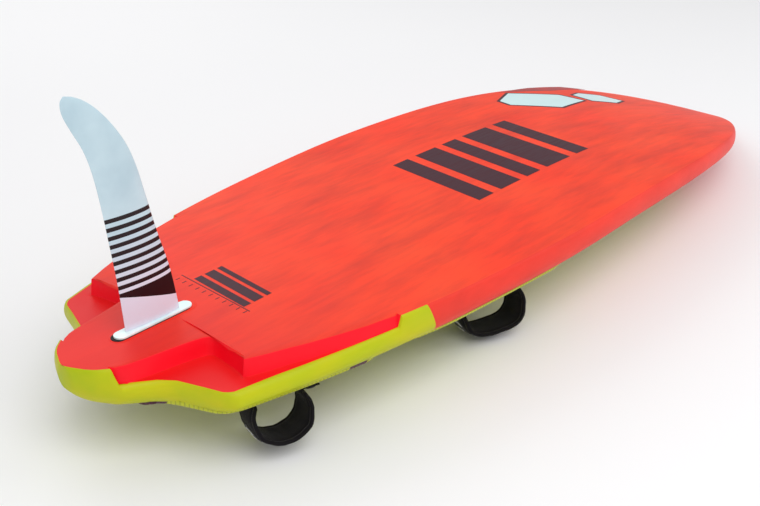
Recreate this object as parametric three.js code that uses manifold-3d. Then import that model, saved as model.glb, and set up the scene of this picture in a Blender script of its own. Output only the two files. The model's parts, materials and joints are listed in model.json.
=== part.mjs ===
// A windsurf freeride board, lying bottom up on its foot straps and its nose.
// Millimetres. The board is built with its tail at x = 0, its nose along +X, its fin side up
// and its flat bottom at z = 0, then tilted a little to lie on a level floor.

import * as THREE from "three";
import { mergeVertices } from "three/addons/utils/BufferGeometryUtils.js";
import Module from "manifold-3d";

const wasm = await Module();
wasm.setup();

// ---------------------------------------------------------------- driving dimensions

const BOARD_LENGTH = 2334;
const LOBE_END = 46; // the tail lobe is full height up to here
const FLOOR_START = 54; // the cut-outs' floor starts here
const STEP = 498; // the cut-outs end here
const STEP_RISE = 6;
const ROCKER_START = 890;
const NOSE_ROCKER = 206;
const ROCKER_POWER = 2.93;

// Half widths at the rail's widest line, station and size. The tail's are corners.
const TAIL_OUTLINE = [
  [0, 16],
  [3, 25],
  [8, 35],
  [12, 43],
  [16, 51],
  [22, 60],
  [30, 69],
  [LOBE_END, 82],
  [FLOOR_START, 87],
  [78, 102],
  [108, 124],
  [122, 137],
  [131, 153],
  [147, 199],
  [160, 239],
  [172, 250],
];
const SIDE_OUTLINE = [
  [172, 250],
  [320, 289],
  [500, 327],
  [700, 354],
  [1000, 375],
  [1270, 371],
  [1500, 358],
  [1670, 337],
  [1800, 311],
  [1900, 282],
  [2000, 241],
  [2080, 199],
  [2150, 156],
  [2220, 106],
  [2280, 60],
  [2315, 30],
  [BOARD_LENGTH, 8],
];
const THICKNESS = [
  [0, 48],
  [12, 64],
  [30, 77],
  [60, 90],
  [110, 98],
  [172, 102],
  [320, 109],
  [600, 119],
  [1000, 124],
  [1300, 120],
  [1670, 109],
  [1900, 94],
  [2150, 67],
  [2280, 43],
  [BOARD_LENGTH, 26],
];
const FLOOR_DEPTH = [
  [0, 32],
  [164, 36],
  [STEP, 22],
];
const EDGE_INSET = [
  [0, 12],
  [LOBE_END, 12],
  [130, 13],
  [250, 16],
  [STEP, 8],
  [BOARD_LENGTH, 8],
];
// The raised bottom's edge inside the cut-outs, one side, from the lobe to the step.
const TONGUE = [
  [LOBE_END - 20, 60],
  [LOBE_END, 76],
  [82, 83],
  [172, 99],
  [218, 110],
  [230, 124],
  [222, 202],
  [214, 215],
  [267, 239],
  [321, 260],
  [379, 281],
  [439, 301],
  [STEP, 317],
  [STEP + 30, 317],
];
const WALL_DRAFT = 4;
// How far the rail's widest line lies under the level bottom.
const APEX_DEPTH = [
  [0, 24],
  [LOBE_END, 36],
  [FLOOR_START, 46],
  [130, 55],
  [172, 57],
  [320, 51],
  [STEP, 41],
  [700, 33],
  [1000, 28],
  [1700, 25],
  [2100, 22],
  [BOARD_LENGTH, 12],
];
const SIDE_POWER = 2.9;
const CROWN_POWER = 2.1;

const SKIN = 5;
const GAP = 0.3;
const CORE_GAP = 0.6; // between the foam core and the skins
const ROUND = 14; // sides of a turned piece
const SEAM_DROP = 6.5; // the bottom and deck skins meet this far under the bottom's edge

const FIN_X = 194;
const FLANGE = { length: 170, width: 27, thick: 3.2 };
const GASKET = { thick: 1.2, rim: 4 };
const HEAD = { length: 146, width: 14, deep: 44, taper: 5 };
const FIN_BOX = { length: 188, width: 40, deep: 58 };
const FIN_HEIGHT = 457;
const FIN_ROOT_THICK = 12;
const FIN_TIP_THICK = 4.5;
const FIN_LEADING = [
  [0, 254],
  [90, 241],
  [175, 220],
  [250, 204],
  [300, 193],
  [340, 180],
  [370, 165],
  [400, 145],
  [425, 124],
  [443, 103],
  [453, 85],
  [FIN_HEIGHT, 72],
];
const FIN_TRAILING = [
  [0, 133],
  [100, 128],
  [190, 120],
  [260, 113],
  [320, 104],
  [360, 93],
  [395, 77],
  [420, 66],
  [435, 62],
  [450, 63],
  [FIN_HEIGHT, 69],
];
const FIN_SCREW = { shank: 3, head: 6.5, headTall: 5, length: 66 };
const NUT = { radius: 7, length: 11, level: -30 };
const SCREW_CUP = 11;

const STRAPS = {
  rear: { x: 278, y: 216, angle: 22, rise: 90, leg: 53, top: 22 },
  front: { x: 850, y: 250, angle: 26, rise: 94, leg: 68, top: 38 },
};
const STRAP_FOOT = 9; // a strap's screw stands this far outside its leg
const STRAP_SCREW = { shank: 2.6, head: 5, headTall: 3, length: 24 };
const WEBBING = { width: 44, thick: 2.6, tab: 18 };
const COVER = { width: 94, thick: 12 };
const PLATE = { length: 24, width: 40, thick: 2.4 };
const PLUG = { radius: 9, deep: 26 };

const PAD = 5;
const REAR_PAD = [
  [96, 60],
  [112, 101],
  [166, 219],
  [188, 237],
  [440, 300],
  [474, 286],
  [486, 240],
  [486, 60],
];
const FRONT_PAD = [
  [550, 60],
  [550, 250],
  [572, 306],
  [652, 334],
  [950, 357],
  [1020, 332],
  [1055, 250],
  [1055, 60],
];

const TRACK = { x: 1330, length: 280, width: 62, deep: 26, slot: 220, neck: 11, channel: 26 };
const TRACK_PROUD = 2.5;
const VENT = { x: 1560, radius: 12, deep: 18, hole: 5.5 };

const FLOOR_SLOPE = 0.748; // degrees between the flat bottom and the floor

// ---------------------------------------------------------------- small tools

// A smooth function through [place, size] pairs.
function through(pairs) {
  const slope = pairs.map(([x, y], i) => {
    const [x0, y0] = pairs[Math.max(i - 1, 0)];
    const [x1, y1] = pairs[Math.min(i + 1, pairs.length - 1)];
    return x1 === x0 ? 0 : (y1 - y0) / (x1 - x0);
  });
  return (x) => {
    const last = pairs.length - 2;
    const i = Math.min(Math.max(pairs.findLastIndex(([a]) => a <= x), 0), last);
    const [x0, y0] = pairs[i];
    const [x1, y1] = pairs[i + 1];
    const h = x1 - x0;
    const t = Math.min(Math.max((x - x0) / h, 0), 1);
    const s = 1 - t;
    const ends = y0 * (1 + 2 * t) * s * s + y1 * (1 + 2 * s) * t * t;
    return ends + h * t * s * (slope[i] * s - slope[i + 1] * t);
  };
}

// Straight lines between [place, size] pairs.
function between(pairs) {
  return (x) => {
    const i = Math.min(Math.max(pairs.findLastIndex(([a]) => a <= x), 0), pairs.length - 2);
    const [x0, y0] = pairs[i];
    const [x1, y1] = pairs[i + 1];
    const t = Math.min(Math.max((x - x0) / (x1 - x0), 0), 1);
    return y0 + t * (y1 - y0);
  };
}

function solidOf(geometry, matrix) {
  const bare = geometry.clone();
  for (const name of Object.keys(bare.attributes)) {
    if (name !== "position") bare.deleteAttribute(name);
  }
  if (matrix) bare.applyMatrix4(matrix);
  const merged = mergeVertices(bare, 1e-3);
  const mesh = new wasm.Mesh({
    numProp: 3,
    vertProperties: merged.attributes.position.array,
    triVerts: new Uint32Array(merged.index.array),
  });
  return new wasm.Manifold(mesh);
}

function geometryOf(solid) {
  const mesh = solid.getMesh();
  const geometry = new THREE.BufferGeometry();
  geometry.setAttribute("position", new THREE.BufferAttribute(mesh.vertProperties, 3));
  geometry.setIndex(new THREE.BufferAttribute(mesh.triVerts, 1));
  geometry.computeVertexNormals();
  return geometry;
}

// The largest body of a cut solid, without the slivers that a cut can leave.
function mainBody(solid) {
  const bodies = solid.decompose();
  return bodies.reduce((most, body) => (body.volume() > most.volume() ? body : most));
}

// Six times the volume that triangles enclose, negative where they face inwards.
function signedVolume(points, index) {
  const [a, b, c] = [0, 1, 2].map(() => new THREE.Vector3());
  let sum = 0;
  for (let i = 0; i < index.length; i += 3) {
    a.fromArray(points[index[i]]);
    b.fromArray(points[index[i + 1]]);
    c.fromArray(points[index[i + 2]]);
    sum += a.dot(b.cross(c));
  }
  return sum;
}

// Triangles over a flat ring of points, turning the same way as the ring.
function capOf(ring) {
  const spread = [0, 1, 2].map((k) => {
    const places = ring.map((point) => point[k]);
    return Math.max(...places) - Math.min(...places);
  });
  const [p, q] = [0, 1, 2].filter((k) => k !== spread.indexOf(Math.min(...spread)));
  const flat = ring.map((point) => new THREE.Vector2(point[p], point[q]));
  const turn = Math.sign(THREE.ShapeUtils.area(flat));
  return THREE.ShapeUtils.triangulateShape(flat, []).map((face) => {
    const sameWay = Math.sign(THREE.ShapeUtils.area(face.map((i) => flat[i]))) === turn;
    return sameWay ? face : [...face].reverse();
  });
}

// A closed skin over rings of points that all have the same count, facing outwards.
function loft(rings) {
  const count = rings[0].length;
  const points = rings.flat();
  const index = [];
  for (let r = 0; r + 1 < rings.length; r++) {
    for (let i = 0; i < count; i++) {
      const a = r * count + i;
      const b = r * count + ((i + 1) % count);
      index.push(a, b, b + count, a, b + count, a + count);
    }
  }
  const last = (rings.length - 1) * count;
  for (const [a, b, c] of capOf(rings[0])) index.push(a, c, b);
  for (const [a, b, c] of capOf(rings.at(-1))) index.push(last + a, last + b, last + c);
  if (signedVolume(points, index) < 0) index.reverse();
  const geometry = new THREE.BufferGeometry();
  geometry.setAttribute("position", new THREE.Float32BufferAttribute(points.flat(), 3));
  geometry.setIndex(index);
  return geometry;
}

function shapeOf(points) {
  return new THREE.Shape(points.map(([x, y]) => new THREE.Vector2(x, y)));
}

// A prism over an outline in x and y, from z = low to z = high.
function prism(shape, low, high, curveSegments = 5) {
  const settings = { depth: high - low, bevelEnabled: false, curveSegments };
  return new THREE.ExtrudeGeometry(shape, settings).translate(0, 0, low);
}

// An outline with round ends, length along x.
function slotShape(length, width) {
  const shape = new THREE.Shape();
  const half = length / 2 - width / 2;
  shape.absarc(half, 0, width / 2, -Math.PI / 2, Math.PI / 2, false);
  shape.absarc(-half, 0, width / 2, Math.PI / 2, (3 * Math.PI) / 2, false);
  shape.closePath();
  return shape;
}

// A turned piece about z, from [radius, z] pairs that start and end on the axis.
function turned(pairs, segments = ROUND) {
  const profile = pairs.map(([r, z]) => new THREE.Vector2(r, z));
  return new THREE.LatheGeometry(profile, segments).rotateX(Math.PI / 2);
}

function rod(radius, low, high, segments = ROUND) {
  return turned(
    [
      [0, low],
      [radius, low],
      [radius, high],
      [0, high],
    ],
    segments,
  );
}

// ---------------------------------------------------------------- hull shape

const sideWidth = through(SIDE_OUTLINE);
const tailWidth = between(TAIL_OUTLINE);
const halfWidth = (x) => (x < SIDE_OUTLINE[0][0] ? tailWidth(x) : sideWidth(x));
const thickness = through(THICKNESS);
const floorDepth = between(FLOOR_DEPTH);
const edgeInset = between(EDGE_INSET);
const apexDepth = through(APEX_DEPTH);

function rockerAt(x) {
  const t = Math.max((x - ROCKER_START) / (BOARD_LENGTH - ROCKER_START), 0);
  return -NOSE_ROCKER * t ** ROCKER_POWER;
}

function topAt(x) {
  if (x <= LOBE_END || x >= STEP + STEP_RISE) return rockerAt(x);
  if (x >= FLOOR_START && x <= STEP) return -floorDepth(x);
  const start = x < STEP ? LOBE_END : STEP;
  const end = x < STEP ? FLOOR_START : STEP + STEP_RISE;
  const t = (x - start) / (end - start);
  return x < STEP ? -floorDepth(x) * t : -floorDepth(STEP) * (1 - t);
}

// 1 on the ramp that rises towards the nose, -1 on the one that falls, 0 elsewhere.
function rampSide(x) {
  if (x === STEP || x === STEP + STEP_RISE) return 1;
  return x === LOBE_END || x === FLOOR_START ? -1 : 0;
}

function apexAt(x) {
  return rockerAt(x) - apexDepth(x);
}

// The deck's height at a place, seen from the fin side.
function deckAt(x, y) {
  const base = apexAt(x);
  const low = rockerAt(x) - thickness(x);
  const share = Math.min(Math.abs(y) / halfWidth(x), 1);
  return base - (base - low) * (1 - share ** SIDE_POWER) ** (1 / CROWN_POWER);
}

// One cross-section, grown by skin millimetres (negative shrinks), as a ring of points.
function section(x, width, stationX, skin) {
  const top = topAt(x) + skin;
  const low = rockerAt(x) - thickness(x) - skin;
  const inset = Math.min(edgeInset(x), width * 0.8);
  const apex = apexAt(x);
  const half = [[width - inset, top]];
  for (const angle of [35, 90]) {
    const a = (angle * Math.PI) / 180;
    half.push([width - inset + inset * Math.sin(a), apex + (top - apex) * Math.cos(a)]);
  }
  for (const angle of [18, 35, 50, 65]) {
    const a = (angle * Math.PI) / 180;
    const side = width * Math.cos(a) ** (2 / SIDE_POWER);
    half.push([side, apex - (apex - low) * Math.sin(a) ** (2 / CROWN_POWER)]);
  }
  const mirrored = half.map(([y, z]) => [-y, z]).reverse();
  const ring = [...half, [0, low], ...mirrored, [0, top]];
  return ring.map(([y, z]) => [stationX, y, z]);
}

const MIDDLE_STATIONS = [240, 320, 410, STEP, STEP + STEP_RISE, 620, 760, 900, 1040, 1180, 1320];
const NOSE_STATIONS = [1450, 1570, 1680, 1780, 1870, 1950, 2020, 2090, 2150, 2220, 2280, 2315];
const STATIONS = [
  ...TAIL_OUTLINE.map(([x]) => x),
  ...MIDDLE_STATIONS,
  ...NOSE_STATIONS,
  BOARD_LENGTH,
];

// The hull without its raised bottom, its plan outline moved out square to itself.
function lowerHull(skin) {
  const plan = STATIONS.map((x) => new THREE.Vector2(x, halfWidth(x)));
  const rings = STATIONS.map((x, i) => {
    const before = plan[Math.max(i - 1, 0)];
    const after = plan[Math.min(i + 1, plan.length - 1)];
    const along = after.clone().sub(before).normalize();
    const atEnd = i === 0 ? -skin : i === plan.length - 1 ? skin : 0;
    const shift = rampSide(x) ? -rampSide(x) * skin : atEnd || -along.y * skin;
    return section(x, halfWidth(x) + along.x * skin, x + shift, skin);
  });
  return solidOf(loft(rings));
}

// The raised bottom between the cut-outs, with walls that lean outwards to their foot.
function tongue(skin) {
  const outline = [...TONGUE, ...TONGUE.map(([x, y]) => [x, -y]).reverse()];
  const ring = (grow, z) =>
    outline.map(([x, y], i) => {
      const [x0, y0] = outline[(i + outline.length - 1) % outline.length];
      const [x1, y1] = outline[(i + 1) % outline.length];
      const along = new THREE.Vector2(x1 - x0, y1 - y0).normalize();
      return [x - along.y * grow, y + along.x * grow, z];
    });
  const foot = ring(WALL_DRAFT + skin, -52);
  const top = ring(skin, skin);
  return solidOf(loft([top, foot]));
}

function hull(skin) {
  return wasm.Manifold.union([lowerHull(skin), tongue(skin)]);
}

// Everything between the seam surface, lowered by drop, and a level far above or below it.
function seamSide(drop, far) {
  const wide = BOARD_LENGTH;
  const rings = STATIONS.map((x, i) => {
    const beyond = i === 0 ? -50 : i === STATIONS.length - 1 ? 50 : 0;
    const place = x + beyond + rampSide(x) * drop * 0.6;
    const level = topAt(x) - drop;
    const low = Math.min(level, far);
    const high = Math.max(level, far);
    return [
      [place, wide, high],
      [place, wide, low],
      [place, -wide, low],
      [place, -wide, high],
    ];
  });
  return solidOf(loft(rings));
}

// ---------------------------------------------------------------- places on the deck

// A frame on the deck: z out of the deck, x turned by angle degrees from the board's x.
function deckFrame(x, y, angle = 0) {
  const reach = 20;
  const px = new THREE.Vector3(2 * reach, 0, deckAt(x + reach, y) - deckAt(x - reach, y));
  const py = new THREE.Vector3(0, 2 * reach, deckAt(x, y + reach) - deckAt(x, y - reach));
  const out = py.cross(px).normalize();
  const a = (angle * Math.PI) / 180;
  const ahead = new THREE.Vector3(Math.cos(a), Math.sin(a), 0);
  ahead.addScaledVector(out, -ahead.dot(out)).normalize();
  const across = out.clone().cross(ahead);
  const matrix = new THREE.Matrix4().makeBasis(ahead, across, out);
  return matrix.setPosition(x, y, deckAt(x, y));
}

// How far the deck lies under a frame's own plane, at a place in that frame.
function deckDrop(matrix, u, v) {
  const point = new THREE.Vector3(u, v, 0).applyMatrix4(matrix);
  const out = new THREE.Vector3().setFromMatrixColumn(matrix, 2);
  return (deckAt(point.x, point.y) - point.z) * out.z;
}

// ---------------------------------------------------------------- materials and groups

function material(color, roughness, metalness = 0) {
  return new THREE.MeshStandardMaterial({ color, roughness, metalness });
}

const LOOKS = {
  bottom: () => material(0xfa4b37, 0.35),
  deck: () => material(0xb6c814, 0.45),
  pad: () => material(0xb4c810, 0.85),
  foam: () => material(0xf2efe6, 0.9),
  moulded: () => material(0x17171a, 0.5),
  rubber: () => material(0x0d0d0f, 0.8),
  fin: () => material(0xc6dce4, 0.3),
  flange: () => material(0xdcfafa, 0.4),
  steel: () => material(0xb9bcc0, 0.3, 1),
  brass: () => material(0xc8a24a, 0.35, 1),
  fabric: () => material(0x120a10, 0.9),
  webbing: () => material(0x1c181d, 0.85),
};

const windsurfBoard = new THREE.Group();
const board = new THREE.Group();
windsurfBoard.add(board);

function piece(name, geometry, look, parent = board) {
  const mesh = new THREE.Mesh(geometry, LOOKS[look]());
  mesh.name = name;
  parent.add(mesh);
  return mesh;
}

function groupAt(matrix) {
  const group = new THREE.Group();
  group.applyMatrix4(matrix);
  board.add(group);
  return group;
}

const pockets = []; // solids cut from the skins and the core

// ---------------------------------------------------------------- fin and its box

function finBlade() {
  const leading = through(FIN_LEADING);
  const trailing = through(FIN_TRAILING);
  const root = FLANGE.thick + GASKET.thick + GAP;
  const levels = [root, 60, 130, 200, 260, 310, 350, 380, 405, 425, 440, 450, FIN_HEIGHT];
  const shares = [0, 0.06, 0.18, 0.38, 0.62, 0.84, 1];
  const rings = levels.map((z) => {
    const front = leading(z);
    const chord = front - trailing(z);
    const along = z / FIN_HEIGHT;
    const thick = (FIN_ROOT_THICK + (FIN_TIP_THICK - FIN_ROOT_THICK) * along) / 2;
    const round = Math.sqrt(Math.max(1 - along ** 12, 0.02));
    const side = shares.map((s) => {
      const foil = 2.6 * Math.sqrt(s) * (1 - s) + 0.12 * s;
      return [front - chord * s, Math.max(foil, s > 0 ? 0.1 : 0) * thick * round, z];
    });
    const other = side.slice(1).map(([x, y, h]) => [x, -y, h]);
    return [...side, ...other.reverse()];
  });
  return loft(rings);
}

function finBase() {
  const seat = GASKET.thick + GAP;
  const flange = prism(slotShape(FLANGE.length, FLANGE.width), seat, seat + FLANGE.thick - GAP);
  const wide = HEAD.width / 2;
  const half = HEAD.length / 2;
  const rings = [
    [half, wide, seat + 1],
    [half - HEAD.taper, wide - 2, -HEAD.deep],
  ].map(([x, y, z]) => [
    [x, y, z],
    [x, -y, z],
    [-x, -y, z],
    [-x, y, z],
  ]);
  const head = solidOf(loft(rings));
  const screwWay = solidOf(rod(FIN_SCREW.shank + GAP, -HEAD.deep - 5, -10));
  const nutWay = solidOf(rod(NUT.radius + GAP, -20, 20).rotateX(Math.PI / 2).translate(0, 0, NUT.level));
  const base = wasm.Manifold.union([solidOf(flange), head]).subtract(screwWay).subtract(nutWay);
  return base;
}

function finBoxWay() {
  const wide = HEAD.width / 2 + GAP;
  const half = HEAD.length / 2 + GAP;
  const rings = [
    [half, wide, 5],
    [half, wide, 0],
    [half - HEAD.taper, wide - 2, -HEAD.deep - GAP],
    [half - HEAD.taper, wide - 2, -HEAD.deep - 3],
  ].map(([x, y, z]) => [
    [x, y, z],
    [x, -y, z],
    [-x, -y, z],
    [-x, y, z],
  ]);
  return solidOf(loft(rings));
}

function makeFin() {
  const place = new THREE.Matrix4().makeTranslation(FIN_X, 0, 0);
  const group = groupAt(place);
  const box = solidOf(prism(slotShape(FIN_BOX.length, FIN_BOX.width), -FIN_BOX.deep, -GAP));
  const boxBore = solidOf(rod(FIN_SCREW.shank + 2, -FIN_BOX.deep - 1, -HEAD.deep));
  piece("fin_box", geometryOf(box.subtract(finBoxWay()).subtract(boxBore)), "moulded", group);

  const [out, back] = [GASKET.rim, -2 * GASKET.rim];
  const gasketRim = prism(slotShape(FLANGE.length + out, FLANGE.width + out), 0, GASKET.thick);
  const gasketWay = prism(slotShape(FLANGE.length + back, FLANGE.width + back), -1, 5);
  const gasket = solidOf(gasketRim).subtract(solidOf(gasketWay));
  piece("fin_gasket", geometryOf(gasket), "rubber", group);

  piece("fin_base", geometryOf(finBase()), "flange", group);
  piece("fin_blade", finBlade(), "fin");

  const nut = solidOf(rod(NUT.radius, -NUT.length / 2, NUT.length / 2).rotateX(Math.PI / 2));
  const thread = solidOf(rod(FIN_SCREW.shank + GAP, -20, 20));
  const nutMesh = piece("fin_barrel_nut", geometryOf(nut.subtract(thread)), "brass", group);
  nutMesh.position.z = NUT.level;

  const seat = deckAt(FIN_X, 0) + 10;
  const head = seat - 1.6 - GAP;
  const screwProfile = [
    [0, head - FIN_SCREW.headTall],
    [FIN_SCREW.head, head - FIN_SCREW.headTall],
    [FIN_SCREW.head, head],
    [FIN_SCREW.shank, head],
    [FIN_SCREW.shank, head + FIN_SCREW.length],
    [0, head + FIN_SCREW.length],
  ];
  const drive = solidOf(new THREE.BoxGeometry(9, 1.6, 3).translate(0, 0, head - FIN_SCREW.headTall));
  const screw = solidOf(turned(screwProfile)).subtract(drive);
  piece("fin_screw", geometryOf(screw), "steel", group);

  const washer = solidOf(rod(SCREW_CUP - 2, seat - 1.6, seat - GAP));
  const washerWay = solidOf(rod(FIN_SCREW.shank + GAP, seat - 5, seat + 5));
  piece("fin_screw_washer", geometryOf(washer.subtract(washerWay)), "steel", group);

  const grown = prism(slotShape(FIN_BOX.length + 2 * GAP, FIN_BOX.width + 2 * GAP), -FIN_BOX.deep - GAP, 5);
  pockets.push(solidOf(grown, place));
  pockets.push(solidOf(rod(FIN_SCREW.shank + 2, -200, 0), place));
  pockets.push(solidOf(rod(SCREW_CUP, -200, seat), place));
}

// ---------------------------------------------------------------- foot straps

// The strap's centre line seen along the foot's way in, in the strap's own frame.
function strapLine({ rise, leg, top }, dropA, dropB) {
  const foot = leg + STRAP_FOOT;
  const lift = PAD + GAP + WEBBING.thick / 2 + GAP;
  const tab = foot + WEBBING.tab;
  const points = [
    [-tab, lift - dropA],
    [-foot - 3, lift - dropA],
    [-foot + 13, lift - dropA],
    [-foot + 17, lift - dropA + 4],
    [-leg, 28],
    [-leg, 46],
    [-leg + 9, rise - 20],
    [-top, rise - 6],
    [0, rise - 2],
    [top, rise - 6],
    [leg - 9, rise - 20],
    [leg, 46],
    [leg, 28],
    [foot - 17, lift - dropB + 4],
    [foot - 13, lift - dropB],
    [foot + 3, lift - dropB],
    [tab, lift - dropB],
  ];
  return points.map(([u, n]) => new THREE.Vector2(u, n));
}

// A band of even thickness along a line, as wide as width, from point first to point last.
function band(line, first, last, thick, width) {
  const curve = new THREE.SplineCurve(line);
  const steps = (last - first) * 2;
  const span = line.length - 1;
  const inner = [];
  const outer = [];
  for (let i = 0; i <= steps; i++) {
    const t = (first + i / 2) / span;
    const point = curve.getPoint(t);
    const along = curve.getTangent(t);
    const side = new THREE.Vector2(-along.y, along.x);
    outer.push(point.clone().addScaledVector(side, thick / 2));
    inner.push(point.clone().addScaledVector(side, -thick / 2));
  }
  const shape = new THREE.Shape([...outer, ...inner.reverse()]);
  return prism(shape, -width / 2, width / 2).rotateX(Math.PI / 2);
}

function makeStrap(name, strap, sign) {
  const matrix = deckFrame(strap.x, sign * strap.y, sign * strap.angle);
  const group = groupAt(matrix);
  const foot = strap.leg + STRAP_FOOT;
  const drops = [-foot, foot].map((u) => -deckDrop(matrix, u, 0));
  const line = strapLine(strap, drops[0], drops[1]);
  const last = line.length - 1;

  const screwWays = [-foot, foot].map((u) => {
    return solidOf(rod(STRAP_SCREW.shank + GAP, -40, 60, 8).translate(u, 0, 0));
  });
  const webbing = solidOf(band(line, 0, last, WEBBING.thick, WEBBING.width));
  const drilled = webbing.subtract(wasm.Manifold.union(screwWays));
  piece("strap_webbing_" + name, geometryOf(drilled), "webbing", group);

  const sleeve = solidOf(band(line, 4, last - 4, COVER.thick, COVER.width));
  const way = solidOf(band(line, 3, last - 3, WEBBING.thick + 2 * GAP, WEBBING.width + 2 * GAP));
  piece("strap_cover_" + name, geometryOf(sleeve.subtract(way)), "fabric", group);

  [-foot, foot].forEach((u, i) => {
    const end = name + (i === 0 ? "_inner" : "_outer");
    const sign = i === 0 ? -1 : 1;
    const deck = -drops[i];
    const tab = deck + PAD + GAP + WEBBING.thick + 3 * GAP;
    const plateTop = tab + PLATE.thick;
    const plate = solidOf(
      prism(slotShape(PLATE.width, PLATE.length), tab, plateTop).rotateZ(Math.PI / 2),
      new THREE.Matrix4().makeTranslation(u + sign * 3, 0, 0),
    );
    piece("strap_plate_" + end, geometryOf(plate.subtract(screwWays[i])), "moulded", group);

    const head = plateTop + GAP;
    const screw = turned(
      [
        [0, head - STRAP_SCREW.length],
        [STRAP_SCREW.shank, head - STRAP_SCREW.length],
        [STRAP_SCREW.shank, head],
        [STRAP_SCREW.head, head],
        [STRAP_SCREW.head * 0.8, head + STRAP_SCREW.headTall],
        [0, head + STRAP_SCREW.headTall],
      ],
      8,
    );
    const screwMesh = piece("strap_screw_" + end, screw, "steel", group);
    screwMesh.position.x = u;

    const plugTop = deck - 1;
    const plug = solidOf(rod(PLUG.radius, plugTop - PLUG.deep, plugTop, 10).translate(u, 0, 0));
    piece("strap_plug_" + end, geometryOf(plug.subtract(screwWays[i])), "moulded", group);
    const grown = rod(PLUG.radius + GAP, plugTop - PLUG.deep - GAP, plugTop + 12, 10);
    pockets.push(solidOf(grown.translate(u, 0, 0), matrix));
  });
}

// ---------------------------------------------------------------- deck fittings

function makeMastTrack() {
  const matrix = deckFrame(TRACK.x, 0);
  const group = groupAt(matrix);
  const body = solidOf(prism(slotShape(TRACK.length, TRACK.width), -TRACK.deep, TRACK_PROUD));
  const neck = solidOf(prism(slotShape(TRACK.slot, TRACK.neck), -TRACK.deep + 4, 10));
  const channel = solidOf(prism(slotShape(TRACK.slot, TRACK.channel), -TRACK.deep + 4, -5));
  const mouth = solidOf(rod(TRACK.channel / 2, -TRACK.deep + 4, 10).translate(TRACK.slot / 2 - 20, 0, 0));
  const cut = wasm.Manifold.union([neck, channel, mouth]);
  piece("mast_track", geometryOf(body.subtract(cut)), "moulded", group);
  const grown = slotShape(TRACK.length + 2 * GAP, TRACK.width + 2 * GAP);
  pockets.push(solidOf(prism(grown, -TRACK.deep - GAP, 30), matrix));
}

function makeVent() {
  const matrix = deckFrame(VENT.x, 0);
  const group = groupAt(matrix);
  const proud = 1;
  const insert = turned([
    [0, -VENT.deep],
    [VENT.radius, -VENT.deep],
    [VENT.radius, proud],
    [8.2, proud],
    [8.2, -4.2],
    [VENT.hole + 0.6, -4.2],
    [VENT.hole + 0.6, -VENT.deep + 4],
    [0, -VENT.deep + 4],
  ]);
  piece("vent_insert", insert, "brass", group);
  const ring = turned([
    [VENT.hole + 0.4, -3.9],
    [7.6, -3.9],
    [7.6, -2.2],
    [VENT.hole + 0.4, -2.2],
    [VENT.hole + 0.4, -3.9],
  ]);
  piece("vent_o_ring", ring, "rubber", group);
  const screw = turned([
    [0, -12],
    [VENT.hole - 0.6, -12],
    [VENT.hole, -11],
    [VENT.hole, -1.9],
    [7.6, -1.9],
    [7.6, 1.4],
    [6.8, 2],
    [0, 2],
  ]);
  const drive = solidOf(new THREE.BoxGeometry(10, 1.8, 3).translate(0, 0, 2));
  piece("vent_screw", geometryOf(solidOf(screw).subtract(drive)), "steel", group);
  pockets.push(solidOf(rod(VENT.radius + GAP, -VENT.deep - GAP, 20), matrix));
}

function makePads() {
  const outer = lowerHull(PAD + GAP);
  const inner = lowerHull(GAP);
  const layer = outer.subtract(inner);
  const holes = pockets.slice();
  for (const [name, outline] of [
    ["rear", REAR_PAD],
    ["front", FRONT_PAD],
  ]) {
    for (const [side, sign] of [
      ["right", -1],
      ["left", 1],
    ]) {
      const plan = outline.map(([x, y]) => [x, y * sign]);
      const region = solidOf(prism(shapeOf(plan), -400, -60));
      const pad = layer.intersect(region).subtract(wasm.Manifold.union(holes));
      piece("deck_pad_" + name + "_" + side, geometryOf(pad), "pad");
    }
  }
}

// ---------------------------------------------------------------- assembly

makeFin();
for (const [side, sign] of [
  ["right", -1],
  ["left", 1],
]) {
  for (const [name, strap] of Object.entries(STRAPS)) {
    makeStrap(name + "_" + side, strap, sign);
  }
}
makeMastTrack();
makeVent();
makePads();

const cut = wasm.Manifold.union(pockets);
const skins = hull(0).subtract(hull(-SKIN));
const bottomSkin = skins.intersect(seamSide(SEAM_DROP, 100)).subtract(cut);
const deckSkin = skins.intersect(seamSide(SEAM_DROP + GAP, -600)).subtract(cut);
const core = hull(-SKIN - CORE_GAP).subtract(skins).subtract(cut);
piece("bottom_shell", geometryOf(mainBody(bottomSkin)), "bottom");
piece("deck_shell", geometryOf(mainBody(deckSkin)), "deck");
piece("foam_core", geometryOf(mainBody(core)), "foam");

// Lay the board down: tilt it, then put the origin under the middle of its box.
board.rotation.y = (-FLOOR_SLOPE * Math.PI) / 180;
windsurfBoard.updateMatrixWorld(true);
const box = new THREE.Box3().setFromObject(board, true);
const middle = box.getCenter(new THREE.Vector3());
board.position.set(-middle.x, -middle.y, -box.min.z);

export default windsurfBoard;
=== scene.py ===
"""A windsurf board lying bottom up: its looks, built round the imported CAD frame.

Metres, in the part's frame. Shapes are worked out in the board's own frame first: x from the
tail to the nose, z = 0 at the flat bottom and up along the fin, y to the left.
"""

import json
import math

import bmesh
import bpy
from mathutils import Matrix, Vector, noise


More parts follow.
